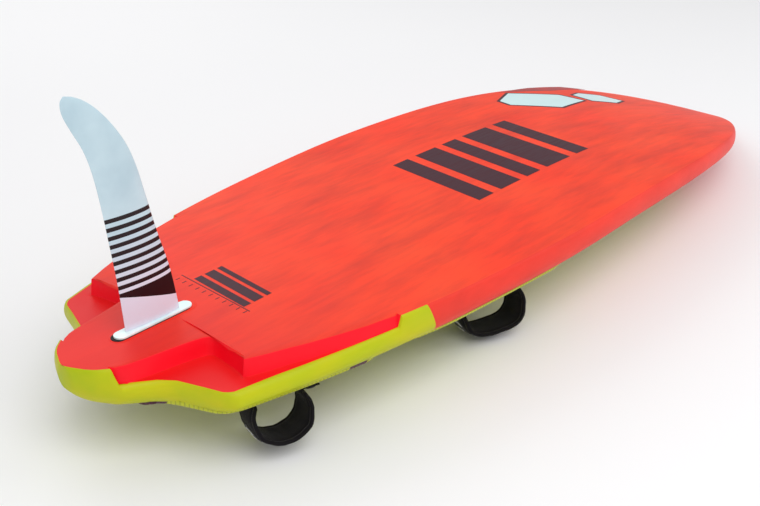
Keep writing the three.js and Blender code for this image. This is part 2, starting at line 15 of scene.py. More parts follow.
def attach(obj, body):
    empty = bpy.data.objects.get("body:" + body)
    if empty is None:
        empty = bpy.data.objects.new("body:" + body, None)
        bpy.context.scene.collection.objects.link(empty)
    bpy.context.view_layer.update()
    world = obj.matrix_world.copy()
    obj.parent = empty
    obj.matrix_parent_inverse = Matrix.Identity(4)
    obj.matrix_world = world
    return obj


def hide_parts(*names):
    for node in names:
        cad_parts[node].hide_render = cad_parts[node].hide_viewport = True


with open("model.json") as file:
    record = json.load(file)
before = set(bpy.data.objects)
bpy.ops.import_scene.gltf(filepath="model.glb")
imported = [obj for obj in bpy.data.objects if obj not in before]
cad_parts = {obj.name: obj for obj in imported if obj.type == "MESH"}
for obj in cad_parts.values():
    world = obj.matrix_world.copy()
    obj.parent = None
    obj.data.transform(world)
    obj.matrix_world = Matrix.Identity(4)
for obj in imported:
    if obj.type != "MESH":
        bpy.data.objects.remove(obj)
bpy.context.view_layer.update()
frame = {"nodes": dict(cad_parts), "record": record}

# ------------------------------------------------------------------ driving dimensions

MM = 0.001
SLOPE = math.radians(0.748)  # between the flat bottom and the floor
TAIL = Vector((-1.168415, 0.0, 0.201511))  # the tail end of the flat bottom
BOARD = Matrix.Translation(TAIL) @ Matrix.Rotation(-SLOPE, 4, "Y")

LENGTH = 2334
LOBE_END = 46
FLOOR_START = 54
STEP = 498
STEP_RISE = 6
ROCKER_START = 890
NOSE_ROCKER = 206
ROCKER_POWER = 2.93
SIDE_POWER = 2.9
CROWN_POWER = 2.1

TAIL_OUTLINE = [
    (0, 16), (3, 25), (8, 35), (12, 43), (16, 51), (22, 60), (30, 69),
    (LOBE_END, 82), (FLOOR_START, 87), (78, 102), (108, 124), (122, 137), (131, 153),
    (147, 199), (160, 239), (172, 250),
]
SIDE_OUTLINE = [
    (172, 250), (320, 289), (500, 327), (700, 354), (1000, 375), (1270, 371), (1500, 358),
    (1670, 337), (1800, 311), (1900, 282), (2000, 241), (2080, 199), (2150, 156),
    (2220, 106), (2280, 60), (2315, 30), (LENGTH, 8),
]
THICKNESS = [
    (0, 48), (12, 64), (30, 77), (60, 90), (110, 98), (172, 102), (320, 109), (600, 119),
    (1000, 124), (1300, 120), (1670, 109), (1900, 94), (2150, 67), (2280, 43), (LENGTH, 26),
]
FLOOR_DEPTH = [(0, 32), (164, 36), (STEP, 22)]
EDGE_INSET = [(0, 12), (LOBE_END, 12), (130, 13), (250, 16), (STEP, 8), (LENGTH, 8)]
APEX_DEPTH = [
    (0, 24), (LOBE_END, 36), (FLOOR_START, 46), (130, 55), (172, 57), (320, 51),
    (STEP, 41), (700, 33), (1000, 28), (1700, 25), (2100, 22), (LENGTH, 12),
]
# The raised bottom's edge in the cut-outs: centre station, edge x and y, floor station.
TONGUE = [
    (54, 54, 72, 54), (60, 60, 75, 60), (70, 70, 80, 70), (82, 82, 83, 82), (112, 112, 89, 109),
    (142, 142, 94, 130), (170, 170, 99, 148), (198, 198, 105, 159), (216, 216, 110, 165),
    (223, 225, 116, 169), (226, 230, 126, 173), (229, 229, 145, 178), (231, 226, 170, 183),
    (233, 222.5, 195, 188), (235, 219, 208, 195), (237, 215, 216, 205), (241, 220, 219, 219),
    (262, 255, 234, 255), (292, 290, 247, 290), (321, 321, 260, 321), (379, 379, 281, 379),
    (439, 439, 300, 439), (497, 497, 312, 497),
]
WALL_DRAFT = 4
EDGE_ROUND = 2.2
FOOT_ROUND = 3.0

FIN_HEIGHT = 457
FIN_LEADING = [
    (0, 254), (90, 241), (175, 220), (250, 204), (300, 193), (340, 180), (370, 165),
    (400, 145), (425, 124), (443, 103), (453, 85), (FIN_HEIGHT, 72),
]
FIN_TRAILING = [
    (0, 133), (100, 128), (190, 120), (260, 113), (320, 104), (360, 93), (395, 77),
    (420, 66), (435, 62), (450, 63), (FIN_HEIGHT, 69),
]
FIN_ROOT_LEVEL = 4.7
FIN_ROOT_THICK = 12
FIN_TIP_THICK = 4.5
FIN_X = 194
FIN_BOX = (188, 40)
LIP = (172.2, 29.2)  # the gasket lip at its widest
FLANGE_SHIFT = -5  # the flange's middle, from the fin box's

# Each strap's place, its turn from the board's length, its rise, and its legs' and top's half spans.
STRAPS = {
    "rear": {"x": 278, "y": 216, "angle": 22, "rise": 90, "leg": 53, "top": 22},
    "front": {"x": 850, "y": 250, "angle": 26, "rise": 94, "leg": 68, "top": 38},
}
STRAP_FOOT = 9
PAD = 5
REAR_PAD = [(96, 60), (112, 101), (166, 219), (188, 237), (440, 300), (474, 286), (486, 240), (486, 60)]
FRONT_PAD = [(550, 60), (550, 250), (572, 306), (652, 334), (950, 357), (1020, 332), (1055, 250), (1055, 60)]
TRACK = (1330, 280, 62)
VENT = (1560, 12)


# ------------------------------------------------------------------ curves through pairs

def through(pairs):
    """A smooth function through (place, size) pairs."""
    slopes = []
    for i in range(len(pairs)):
        x0, y0 = pairs[max(i - 1, 0)]
        x1, y1 = pairs[min(i + 1, len(pairs) - 1)]
        slopes.append((y1 - y0) / (x1 - x0))

    def value(x):
        i = max(min(sum(1 for a, _ in pairs if a <= x) - 1, len(pairs) - 2), 0)
        (x0, y0), (x1, y1) = pairs[i], pairs[i + 1]
        h = x1 - x0
        t = min(max((x - x0) / h, 0), 1)
        s = 1 - t
        ends = y0 * (1 + 2 * t) * s * s + y1 * (1 + 2 * s) * t * t
        return ends + h * t * s * (slopes[i] * s - slopes[i + 1] * t)

    return value


def between(pairs):
    """Straight lines between (place, size) pairs."""
    def value(x):
        i = max(min(sum(1 for a, _ in pairs if a <= x) - 1, len(pairs) - 2), 0)
        (x0, y0), (x1, y1) = pairs[i], pairs[i + 1]
        t = min(max((x - x0) / (x1 - x0), 0), 1)
        return y0 + t * (y1 - y0)

    return value


side_width = through(SIDE_OUTLINE)
tail_width = between(TAIL_OUTLINE)
thickness = through(THICKNESS)
floor_depth = between(FLOOR_DEPTH)
edge_inset = between(EDGE_INSET)
apex_depth = through(APEX_DEPTH)


def half_width(x):
    return tail_width(x) if x < SIDE_OUTLINE[0][0] else side_width(x)


def rocker_at(x):
    t = max((x - ROCKER_START) / (LENGTH - ROCKER_START), 0)
    return -NOSE_ROCKER * t ** ROCKER_POWER


def deck_at(x, y):
    """The deck's height at a place, seen from the fin side."""
    base = rocker_at(x) - apex_depth(x)
    low = rocker_at(x) - thickness(x)
    share = min(abs(y) / half_width(x), 1)
    return base - (base - low) * (1 - share ** SIDE_POWER) ** (1 / CROWN_POWER)


# ------------------------------------------------------------------ mesh helpers

def to_part(point):
    return BOARD @ (Vector(point) * MM)


def new_piece(name, points, faces, body="board", merge=True):
    """A mesh piece from points in the board's frame, in millimetres."""
    mesh = bpy.data.meshes.new(name)
    mesh.from_pydata([to_part(p) for p in points], [], faces)
    mesh.validate()
    piece = bpy.data.objects.new(name, mesh)
    bpy.context.scene.collection.objects.link(piece)
    bm = bmesh.new()
    bm.from_mesh(mesh)
    if merge:
        bmesh.ops.remove_doubles(bm, verts=bm.verts, dist=2e-5)
    bmesh.ops.recalc_face_normals(bm, faces=bm.faces)
    bm.to_mesh(mesh)
    bm.free()
    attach(piece, body)
    return piece


def grid_faces(rings, count, closed):
    """Quads between rings that hold count points each."""
    faces = []
    for r in range(rings - 1):
        for i in range(count if closed else count - 1):
            a, b = r * count + i, r * count + (i + 1) % count
            faces.append((a, b, b + count, a + count))
    return faces


def apply_modifiers(piece):
    graph = bpy.context.evaluated_depsgraph_get()
    made = bpy.data.meshes.new_from_object(piece.evaluated_get(graph))
    piece.modifiers.clear()
    piece.data = made


def shade(piece, degrees=32):
    """Smooth shading that keeps edges sharper than the angle."""
    piece.data.shade_smooth()
    piece.data.set_sharp_from_angle(angle=math.radians(degrees))


def cutter(prisms):
    """One object that holds closed prisms, each (outline, low, high, matrix)."""
    bm = bmesh.new()
    for outline, low, high, matrix in prisms:
        rings = [[bm.verts.new(matrix @ (Vector((x, y, z)) * MM)) for x, y in outline] for z in (low, high)]
        bm.faces.new(rings[0][::-1])
        bm.faces.new(rings[1])
        for i in range(len(outline)):
            j = (i + 1) % len(outline)
            bm.faces.new((rings[0][i], rings[0][j], rings[1][j], rings[1][i]))
    bmesh.ops.recalc_face_normals(bm, faces=bm.faces)
    mesh = bpy.data.meshes.new("cutter")
    bm.to_mesh(mesh)
    bm.free()
    tool = bpy.data.objects.new("cutter", mesh)
    bpy.context.scene.collection.objects.link(tool)
    return tool


def cut(piece, prisms):
    tool = cutter(prisms)
    difference = piece.modifiers.new("cut", "BOOLEAN")
    difference.operation = "DIFFERENCE"
    difference.solver = "EXACT"
    difference.object = tool
    bpy.context.view_layer.update()
    apply_modifiers(piece)
    bpy.data.objects.remove(tool)


def circle(radius, count=28):
    turns = [2 * math.pi * i / count for i in range(count)]
    return [(radius * math.cos(a), radius * math.sin(a)) for a in turns]


def slot_outline(length, width, count=12):
    half, radius = length / 2 - width / 2, width / 2
    points = []
    for sign, start in ((1, -0.5), (-1, 0.5)):
        for i in range(count + 1):
            a = math.pi * (start + i / count)
            points.append((sign * half + radius * math.cos(a), radius * math.sin(a)))
    return points


def deck_frame(x, y, angle=0.0):
    """A frame on the deck in the part's metres: z out of the deck, x turned from the board's x."""
    reach = 20
    px = Vector((2 * reach, 0, deck_at(x + reach, y) - deck_at(x - reach, y)))
    py = Vector((0, 2 * reach, deck_at(x, y + reach) - deck_at(x, y - reach)))
    out = py.cross(px).normalized()
    a = math.radians(angle)
    ahead = Vector((math.cos(a), math.sin(a), 0))
    ahead = (ahead - ahead.dot(out) * out).normalized()
    across = out.cross(ahead)
    local = Matrix((ahead, across, out)).transposed().to_4x4()
    return BOARD @ Matrix.Translation(Vector((x, y, deck_at(x, y))) * MM) @ local


def deck_drop(matrix, u):
    """How far the deck lies under a deck frame's plane, u millimetres along its x."""
    point = BOARD.inverted() @ matrix @ Vector((u * MM, 0, 0)) / MM
    out = (BOARD.inverted() @ matrix).to_3x3().col[2]
    return (deck_at(point.x, point.y) - point.z) * out.z


# ------------------------------------------------------------------ materials

def linear(r, g, b):
    """An 8-bit display colour as linear light."""
    shares = [v / 255 for v in (r, g, b)]
    return (*(v / 12.92 if v <= 0.04045 else ((v + 0.055) / 1.055) ** 2.4 for v in shares), 1.0)


class Look:
    """A node material with short helpers for building it."""

    def __init__(self, name, color, roughness=0.5, metallic=0.0, **sockets):
        self.material = bpy.data.materials.new(name)
        self.material.use_nodes = True
        self.tree = self.material.node_tree
        self.shader = self.tree.nodes["Principled BSDF"]
        self.shader.inputs["Base Color"].default_value = linear(*color)
        self.shader.inputs["Roughness"].default_value = roughness
        self.shader.inputs["Metallic"].default_value = metallic
        for socket, value in sockets.items():
            self.shader.inputs[socket.replace("_", " ")].default_value = value

    def node(self, kind, inputs=None, **settings):
        made = self.tree.nodes.new("ShaderNode" + kind)
        for key, value in settings.items():
            setattr(made, key, value)
        for key, value in (inputs or {}).items():
            self.feed(value, made.inputs[key])
        return made

    def feed(self, value, socket):
        if isinstance(value, bpy.types.NodeSocket):
            self.tree.links.new(value, socket)
        else:
            socket.default_value = value

    def maths(self, operation, a, b=0.0, c=0.0):
        return self.node("Math", {0: a, 1: b, 2: c}, operation=operation).outputs[0]

    def mix(self, share, a, b):
        made = self.node("Mix", data_type="RGBA")
        self.feed(share, made.inputs["Factor"])
        for socket, value in ((made.inputs[6], a), (made.inputs[7], b)):
            self.feed(linear(*value) if isinstance(value, tuple) and len(value) == 3 else value, socket)
        return made.outputs[2]

    def place(self):
        """Object coordinates turned into the board's own frame, in metres."""
        found = self.node("TexCoord").outputs["Object"]
        back = BOARD.inverted()
        turned = self.node("Mapping", {"Vector": found})
        turned.inputs["Location"].default_value = back.translation
        turned.inputs["Rotation"].default_value = (0, SLOPE, 0)
        return turned.outputs["Vector"]

    def noise(self, where, scale, detail=3.0, roughness=0.55):
        inputs = {"Vector": where, "Scale": scale, "Detail": detail, "Roughness": roughness}
        return self.node("TexNoise", inputs).outputs["Fac"]

    def stretch(self, where, scale, turn=(0, 0, 0)):
        return self.node("Mapping", {"Vector": where, "Scale": scale, "Rotation": turn}).outputs["Vector"]

    def ramp(self, value, low, high):
        inputs = {"Value": value, "From Min": low, "From Max": high}
        return self.node("MapRange", inputs, clamp=True).outputs["Result"]

    def color(self, value):
        self.feed(value, self.shader.inputs["Base Color"])

    def rough(self, value):
        self.feed(value, self.shader.inputs["Roughness"])

    def bump(self, height, strength, distance):
        before = self.shader.inputs["Normal"].links
        made = self.node("Bump", {"Height": height, "Strength": strength, "Distance": distance})
        if before:
            self.tree.links.new(before[0].from_socket, made.inputs["Normal"])
        self.tree.links.new(made.outputs["Normal"], self.shader.inputs["Normal"])


def streaks(look, base, dark, light):
    """Soft brushed streaks of two more colours over a base colour."""
    where = look.place()
    slanted = look.stretch(where, (2.2, 9.0, 4.0), (0, 0, 0.5))
    broad = look.ramp(look.noise(slanted, 1.6, 4.0), 0.42, 0.75)
    fine = look.ramp(look.noise(look.stretch(where, (5, 34, 9), (0, 0, 0.5)), 2.4, 5.0), 0.4, 0.8)
    shade_share = look.maths("MULTIPLY", look.maths("ADD", broad, look.maths("MULTIPLY", fine, 0.5)), 0.55)
    cloud = look.ramp(look.noise(look.stretch(where, (3, 3, 3)), 1.3, 2.0), 0.35, 0.7)
    toned = look.mix(look.maths("MULTIPLY", cloud, 0.55), base, light)
    return look.mix(shade_share, toned, dark), where


def lacquer_finish(look, where, roughness):
    """A sanded clear coat: fine scratches and slow changes of gloss."""
    fine = look.noise(look.stretch(where, (60, 900, 300)), 1.0, 2.0)
    slow = look.noise(where, 7.0, 2.0)
    both = look.maths("ADD", look.maths("MULTIPLY", fine, 0.10), look.maths("MULTIPLY", slow, 0.12))
    look.rough(look.maths("ADD", both, roughness - 0.11))
    look.bump(fine, 0.05, 0.0002)
    look.bump(look.noise(where, 22.0, 2.0), 0.10, 0.0006)


def bottom_look():
    look = Look("bottom_lacquer", (250, 75, 55), 0.5, Specular_IOR_Level=0.28)
    color, where = streaks(look, (252, 58, 22), (196, 42, 28), (253, 80, 32))
    xyz = look.node("SeparateXYZ", {"Vector": where})
    low = look.ramp(xyz.outputs["Z"], -0.004, -0.012)
    tail = look.ramp(xyz.outputs["X"], 0.53, 0.50)
    walls = look.maths("MULTIPLY", low, tail)
    # Painted shade: the steep walls of the tail's cut-outs, picked out by which way they face, get a deeper,
    # darker red than the faces that look up.
    geometry = look.node("NewGeometry")
    upright = look.node("SeparateXYZ", {"Vector": geometry.outputs["Normal"]}).outputs["Z"]
    painted_wall_shade = look.maths("MULTIPLY", look.ramp(upright, 0.9, 0.5), tail)
    floor = look.mix(walls, color, look.mix(look.noise(where, 9.0), (238, 8, 26), (246, 30, 34)))
    near_tail = look.maths("MULTIPLY", look.ramp(xyz.outputs["X"], 0.55, 0.1), 0.8)
    warm = look.mix(near_tail, floor, (230, 16, 18))
    look.color(look.mix(painted_wall_shade, warm, (252, 0, 32)))
    lacquer_finish(look, where, 0.5)
    return look.material


def deck_look():
    look = Look("deck_lacquer", (196, 204, 14), 0.5, Specular_IOR_Level=0.28)
    red, where = streaks(look, (240, 54, 38), (204, 44, 34), (244, 64, 46))
    xyz = look.node("SeparateXYZ", {"Vector": where})
    along = look.maths("ADD", xyz.outputs["X"], look.maths("MULTIPLY", xyz.outputs["Z"], 0.35))
    ahead = look.ramp(along, 0.5645, 0.5655)
    lifted = look.maths("POWER", look.ramp(xyz.outputs["X"], 0.89, 2.334), ROCKER_POWER)
    rocker = look.maths("MULTIPLY", lifted, -0.206)
    rail = look.ramp(look.maths("SUBTRACT", xyz.outputs["Z"], rocker), -0.094, -0.092)
    tone = look.ramp(look.noise(look.stretch(where, (3, 8, 8)), 1.4, 3.0), 0.35, 0.7)
    yellow = look.mix(tone, (198, 194, 0), (172, 190, 0))
    look.color(look.mix(look.maths("MULTIPLY", ahead, rail), yellow, red))
    lacquer_finish(look, where, 0.5)
    return look.material


def pad_look():
    look = Look("pad_foam", (198, 206, 20), 0.85, Sheen_Weight=0.15)
    where = look.place()
    cells = look.node("TexVoronoi", {"Vector": where, "Scale": 620.0}).outputs["Distance"]
    inputs = {"Vector": look.stretch(where, (1, 1, 0.2), (0, 0, 0.6)), "Scale": 42.0, "Distortion": 0.4}
    grooves = look.node("TexWave", inputs, bands_direction="X").outputs["Fac"]
    shadow = look.mix(look.ramp(grooves, 0.0, 0.25), (150, 156, 4), (194, 198, 8))
    speckle = look.maths("MULTIPLY", look.ramp(cells, 0.1, 0.6), 0.25)
    along = look.node("SeparateXYZ", {"Vector": where}).outputs["X"]
    bands = []
    for middle, half in ((0.105, 0.016), (0.418, 0.018)):
        away = look.maths("ABSOLUTE", look.maths("SUBTRACT", along, middle))
        bands.append(look.maths("LESS_THAN", away, half))
    patch = look.maths("MAXIMUM", *bands)
    look.color(look.mix(patch, look.mix(speckle, shadow, (168, 176, 12)), (74, 16, 56)))
    look.bump(grooves, 0.5, 0.0012)
    look.bump(cells, 0.35, 0.0005)
    return look.material


def fin_look():
    look = Look("fin_laminate", (198, 220, 228), 0.42, Specular_IOR_Level=0.35)
    where = look.place()
    xyz = look.node("SeparateXYZ", {"Vector": where})
    x, z = xyz.outputs["X"], xyz.outputs["Z"]
    tint = look.mix(look.ramp(look.noise(where, 11.0, 3.0), 0.35, 0.7), (178, 204, 215), (194, 218, 227))
    base = look.mix(look.ramp(z, 0.20, 0.06), tint, (222, 224, 240))
    middle = look.maths("SUBTRACT", x, 0.176)
    arc = look.maths("MULTIPLY", look.maths("MULTIPLY", middle, middle), 0.5)
    level = look.maths("SUBTRACT", z, arc)
    phase = look.maths("FRACT", look.maths("DIVIDE", look.maths("SUBTRACT", level, 0.0885), 0.0162))
    stripe = look.maths("LESS_THAN", phase, 0.5)
    above = look.maths("GREATER_THAN", level, 0.0885)
    inside = look.maths("MULTIPLY", above, look.maths("LESS_THAN", level, 0.230))
    low = look.maths("MULTIPLY_ADD", middle, -0.329, 0.0598)
    wedge = look.maths("MULTIPLY", look.maths("LESS_THAN", level, 0.0815), look.maths("GREATER_THAN", z, low))
    dark = look.maths("MAXIMUM", look.maths("MULTIPLY", stripe, inside), wedge)
    look.color(look.mix(dark, base, (18, 4, 11)))
    inputs = {"Vector": look.stretch(where, (1, 1, 1), (0.0, 0.8, 0.0)), "Scale": 260.0}
    cloth = look.node("TexWave", inputs, bands_direction="X").outputs["Fac"]
    look.bump(cloth, 0.06, 0.0002)
    look.bump(look.noise(where, 90.0), 0.05, 0.0002)
    look.rough(look.maths("MULTIPLY_ADD", look.noise(where, 30.0), 0.16, 0.30))
    return look.material


def moulded_look(name, color, roughness, grain=700.0):
    """Spark-textured moulded plastic or rubber."""
    look = Look(name, color, roughness)
    where = look.place()
    grains = look.noise(where, grain, 3.0)
    worn = look.ramp(look.noise(where, 24.0, 3.0), 0.35, 0.75)
    lighter = tuple(min(255, int(v * 1.25 + 6)) for v in color)
    look.color(look.mix(worn, tuple(color), lighter))
    look.rough(look.maths("MULTIPLY_ADD", worn, 0.14, roughness - 0.07))
    look.bump(grains, 0.25, 0.0003)
    return look.material


def metal_look(name, color, roughness, turned=900.0):
    look = Look(name, color, roughness, 1.0)
    where = look.place()
    marks = look.noise(look.stretch(where, (turned, turned, 40)), 1.0, 2.0)
    look.rough(look.maths("MULTIPLY_ADD", marks, 0.22, roughness - 0.1))
    look.color(look.mix(look.noise(where, 60.0), tuple(color), tuple(int(v * 0.82) for v in color)))
    look.bump(marks, 0.12, 0.0002)
    return look.material


def fabric_look(name, color, second, pitch, sheen, stitched=False):
    """A knit or weave: two crossed waves in its colour and bump, and a row of stitches by each edge."""
    look = Look(name, color, 0.88, Sheen_Weight=sheen, Sheen_Roughness=0.4, Specular_IOR_Level=0.2)
    where = look.place()
    threads_at = look.node("UVMap").outputs["UV"] if stitched else where
    waves = []
    for direction in ("X", "Y"):
        inputs = {"Vector": threads_at, "Scale": 0.314 / pitch, "Distortion": 0.6, "Detail": 1.0}
        waves.append(look.node("TexWave", inputs, bands_direction=direction).outputs["Fac"])
    threads = look.maths("MULTIPLY", *waves)
    fuzz = look.ramp(look.noise(where, 70.0, 4.0), 0.3, 0.8)
    toned = look.mix(look.maths("MULTIPLY", threads, 0.6), tuple(color), tuple(second))
    shown = look.mix(look.maths("MULTIPLY", fuzz, 0.35), toned, tuple(second))
    if stitched:
        across = look.node("SeparateXYZ", {"Vector": threads_at})
        offset = look.maths("SUBTRACT", look.maths("ABSOLUTE", across.outputs["X"]), 3.55)
        near = look.maths("LESS_THAN", look.maths("ABSOLUTE", offset), 0.06)
        step = look.maths("FRACT", look.maths("MULTIPLY", across.outputs["Y"], 2.6))
        dash = look.maths("LESS_THAN", step, 0.62)
        stitch = look.maths("MULTIPLY", near, dash)
        shown = look.mix(stitch, shown, (74, 70, 76))
        look.bump(stitch, 0.8, 0.0008)
    look.color(shown)
    look.rough(look.maths("MULTIPLY_ADD", fuzz, 0.12, 0.8))
    look.bump(threads, 0.5, 0.0006)
    look.bump(look.noise(where, 45.0, 3.0), 0.3, 0.0015)
    return look.material


def foam_look():
    look = Look("core_foam", (240, 238, 228), 0.92, Subsurface_Weight=0.1)
    where = look.place()
    beads = look.node("TexVoronoi", {"Vector": where, "Scale": 260.0}).outputs["Distance"]
    look.color(look.mix(look.ramp(beads, 0.1, 0.7), (244, 242, 234), (222, 219, 206)))
    look.bump(beads, 0.4, 0.0012)
    return look.material


def graphic_look():
    look = Look("printed_dark", (84, 54, 66), 0.55, Specular_IOR_Level=0.2)
    where = look.place()
    worn = look.ramp(look.noise(look.stretch(where, (6, 60, 6), (0, 0, 0.5)), 2.0, 4.0), 0.4, 0.8)
    look.color(look.mix(look.maths("MULTIPLY", worn, 0.5), (62, 26, 40), (88, 42, 48)))
    look.rough(look.maths("MULTIPLY_ADD", worn, 0.15, 0.42))
    return look.material


def sticker_look():
    look = Look("sticker_film", (206, 240, 242), 0.25, Coat_Weight=0.3)
    where = look.place()
    look.color(look.mix(look.noise(where, 30.0), (200, 238, 242), (214, 244, 246)))
    look.bump(look.noise(where, 60.0), 0.08, 0.0003)
    return look.material


LOOKS = {
    "bottom_skin": bottom_look(),
    "deck_skin": deck_look(),
    "deck_pad": pad_look(),
    "fin_laminate": fin_look(),
    "fin_base_plastic": moulded_look("fin_base_plastic", (214, 243, 243), 0.35, 300.0),
    "moulded_plastic": moulded_look("moulded_plastic", (24, 24, 27), 0.55),
    "seal_rubber": moulded_look("seal_rubber", (12, 12, 14), 0.75, 400.0),
    "steel": metal_look("stainless_steel", (196, 199, 203), 0.3),
    "brass": metal_look("turned_brass", (204, 166, 84), 0.34),
    "strap_tab": moulded_look("strap_tab", (38, 36, 42), 0.5, 500.0),
    # Painted highlight: the light bars on the strap tabs stand in for glints.
    "painted_strap_glint": moulded_look("painted_strap_glint", (206, 206, 212), 0.45, 500.0),
    "strap_cover": fabric_look("strap_knit", (7, 4, 8), (24, 19, 25), 0.16, 0.06, True),
    "webbing": fabric_look("strap_webbing", (12, 10, 13), (34, 31, 36), 0.0016, 0.05),
    "core_foam": foam_look(),
    "printed": graphic_look(),
    "sticker": sticker_look(),
    # Painted shade for the far rail near the nose.
    "rail_shade_red": moulded_look("painted_rail_shade_sheet", (150, 40, 40), 0.5, 300.0),
}


def paint(piece, *looks):
    piece.data.materials.clear()
    for look in looks:
        piece.data.materials.append(LOOKS[look])


# ------------------------------------------------------------------ hull skins

def outward(points, i):
    """The direction out of a half outline, square to it, at one of its points."""
    x0, y0 = points[max(i - 1, 0)]
    x1, y1 = points[min(i + 1, len(points) - 1)]
    along = Vector((x1 - x0, y1 - y0)).normalized()
    return Vector((-along.y, along.x))


def plain_ring(x, level, edge, spread):
    """The bottom from its centre to its edge, where there is no cut-out."""
    flat = [(x, 0, level)] + [(x, edge * spread[0] * t, level) for t in (0.3, 0.55, 0.8, 0.93)]
    near = [(x, edge * (spread[0] + (spread[1] - spread[0]) * t / 7), level) for t in range(8)]
    rest = [(x, edge * (spread[1] + (1 - spread[1]) * t), level) for t in (0.33, 0.66, 1.0)]
    return flat + near + rest


def tongue_ring(i):
    """The bottom from its centre, over the raised bottom's edge and down to a cut-out's edge."""
    outline = [(x, y) for _, x, y, _ in TONGUE]
    centre, x, y, floor_x = TONGUE[i]
    out = outward(outline, i)
    floor = -floor_depth(floor_x)
    edge = half_width(floor_x) - edge_inset(floor_x)
    place = Vector((x, y))
    first = place - out * EDGE_ROUND
    points = [(centre, 0, 0)]
    points += [(centre + (first.x - centre) * t, first.y * t, 0) for t in (0.3, 0.55, 0.8, 0.93)]
    for degrees in (0, 30, 60, 90):
        a = math.radians(degrees)
        at = place + out * EDGE_ROUND * (math.sin(a) - 1)
        points.append((at.x, at.y, -EDGE_ROUND * (1 - math.cos(a))))
    at = place + out * WALL_DRAFT * 0.5
    points.append((at.x, at.y, floor * 0.5))
    for degrees in (0, 45, 90):
        a = math.radians(degrees)
        at = place + out * (WALL_DRAFT + FOOT_ROUND * (1 - math.cos(a)))
        points.append((at.x, min(at.y, edge - 1.5), floor + FOOT_ROUND * (1 - math.sin(a))))
    foot = points[-1]
    for t in (0.33, 0.66, 1.0):
        points.append((foot[0] + (floor_x - foot[0]) * t, foot[1] + (edge - foot[1]) * t, floor))
    return floor_x, points


def rail_and_deck(x, edge_level):
    """From the bottom's edge round the rail to the middle of the deck."""
    width = half_width(x)
    inset = min(edge_inset(x), width * 0.8)
    apex = rocker_at(x) - apex_depth(x)
    low = rocker_at(x) - thickness(x)
    points = [(x, width - inset, edge_level)]
    for degrees in (12, 24, 36, 48, 60, 70, 80, 90):
        a = math.radians(degrees)
        points.append((x, width - inset + inset * math.sin(a), apex + (edge_level - apex) * math.cos(a)))
    for degrees in (5, 10, 15, 20, 26, 32, 38, 44, 50, 56, 62, 68, 74, 80, 85, 90):
        a = math.radians(degrees)
        side = width * max(math.cos(a), 0.0) ** (2 / SIDE_POWER)
        points.append((x, side, apex - (apex - low) * math.sin(a) ** (2 / CROWN_POWER)))
    return points


def hull_rings():
    """Pairs of half rings, bottom and deck, from the tail to the nose."""
    rings = []
    tail = [0, 1.5, 3.5, 6, 10, 16, 23, 30, 38, LOBE_END]
    for x in tail:
        edge = half_width(x) - min(edge_inset(x), half_width(x) * 0.8)
        rings.append((plain_ring(x, 0, edge, (0.86, 0.95)), rail_and_deck(x, 0)))
    for i in range(len(TONGUE)):
        for share in (0, 0.5) if i in (3, 16, 17, 18, 19, 20, 21) else (0,):
            floor_x, points = tongue_ring(i)
            if share:
                next_x, next_points = tongue_ring(i + 1)
                floor_x = floor_x + (next_x - floor_x) * share
                points = [tuple(Vector(a).lerp(Vector(b), share)) for a, b in zip(points, next_points)]
            rail = rail_and_deck(floor_x, points[-1][2])
            points[-1] = rail[0]
            rings.append((points, rail))
    ahead = [STEP + STEP_RISE + 26 * i for i in range(61)]
    nose = [2090, 2116, 2142, 2168, 2194, 2220, 2244, 2266, 2284, 2300, 2312, 2321, 2327, 2331, LENGTH]
    for x in [x for x in ahead if x < 2075] + nose:
        level = rocker_at(x)
        edge = half_width(x) - min(edge_inset(x), half_width(x) * 0.8)
        rings.append((plain_ring(x, level, edge, (0.955, 0.985)), rail_and_deck(x, level)))
    return rings


def half_loft(rings, turned_over=False):
    """A surface from half rings and their mirror images, open at both ends."""
    full = []
    for ring in rings:
        mirrored = [(x, -y, z) for x, y, z in ring]
        full.append(mirrored[::-1] + ring[1:] if not turned_over else ring + mirrored[::-1][1:])
    count = len(full[0])
    points = [p for ring in full for p in ring]
    faces = grid_faces(len(full), count, False)
    return points, faces, count


def build_hull():
    rings = hull_rings()
    bottom_points, bottom_faces, _ = half_loft([a for a, _ in rings])
    bottom = new_piece("bottom_skin", bottom_points, bottom_faces)
    deck_points, deck_faces, count = half_loft([b for _, b in rings], True)
    deck_faces += [tuple(range(count)), tuple(len(deck_points) - count + i for i in range(count))]
    deck = new_piece("deck_skin", deck_points, deck_faces)
    for piece, node in ((bottom, "bottom_shell"), (deck, "deck_shell")):
        up = 1 if piece is bottom else -1
        middle = max(piece.data.polygons, key=lambda f: f.area)
        if middle.normal.z * up < 0 and abs(middle.normal.z) > 0.5:
            piece.data.flip_normals()
        thick = piece.modifiers.new("thickness", "SOLIDIFY")
        thick.thickness = 0.0022
        thick.offset = -1
        apply_modifiers(piece)
        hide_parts(node)
    fin_way = (slot_outline(*FIN_BOX), -30, 20, BOARD @ Matrix.Translation((FIN_X * MM, 0, 0)))
    cut(bottom, [fin_way])
    ways = [(slot_outline(TRACK[1] + 0.6, TRACK[2] + 0.6), -12, 14, deck_frame(TRACK[0], 0))]
    ways.append((circle(VENT[1] + 0.3), -10, 12, deck_frame(VENT[0], 0)))
    ways.append((circle(11), -110, -50, BOARD @ Matrix.Translation((FIN_X * MM, 0, 0))))
    cut(deck, ways)
    paint(bottom, "bottom_skin")
    paint(deck, "deck_skin")
    shade(bottom, 30)
    shade(deck, 35)
